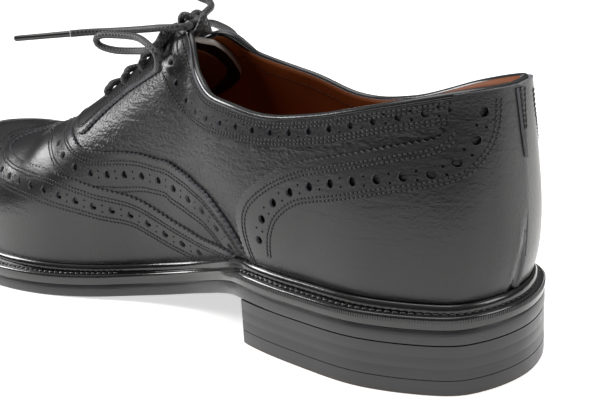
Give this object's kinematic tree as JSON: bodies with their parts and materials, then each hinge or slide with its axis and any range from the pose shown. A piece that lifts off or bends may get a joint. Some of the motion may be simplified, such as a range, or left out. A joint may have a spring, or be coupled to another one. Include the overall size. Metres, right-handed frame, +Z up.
{
  "type": "wingtip shoe",
  "caption": "Right-foot closed-laced leather wingtip shoe with broguing, a storm welt all round, a stacked heel and a tied lace.",
  "frame": {"origin": "on the floor, at the middle of the underside of the heel", "axes": "+X from heel to toe, +Y towards the inner (medial) side of this right shoe, +Z up"},
  "size_m": [0.312, 0.107, 0.1134],
  "materials": {
    "black_calf": "semi-gloss",
    "polished_calf": "polished",
    "tan_lining": "matte",
    "outsole_leather": "burnished",
    "welt_leather": "burnished",
    "heel_leather": "burnished",
    "heel_rubber": "matte",
    "waxed_lace": "waxed",
    "lace_tip": "gloss"
  },
  "bodies": {
    "root": {"outsole": "outsole_leather", "welt": "welt_leather", "heel_stack": "heel_leather", "top_piece": "heel_rubber", "insole": "tan_lining", "upper": "black_calf", "tongue": "black_calf", "wing_cap": "polished_calf", "vamp": "black_calf", "heel_counter": "polished_calf", "backstay": "black_calf", "collar_band_inner": "black_calf", "collar_band_outer": "black_calf", "facing_inner": "black_calf", "facing_outer": "black_calf", "lace_bar_1": "waxed_lace", "lace_bar_2": "waxed_lace", "lace_bar_3": "waxed_lace", "lace_bar_4": "waxed_lace", "lace_knot": "waxed_lace", "lace_loop_inner": "waxed_lace", "lace_loop_outer": "waxed_lace", "lace_end_inner": "waxed_lace", "lace_end_outer": "waxed_lace", "aglet_inner": "lace_tip", "aglet_outer": "lace_tip"}
  },
  "joints": []
}
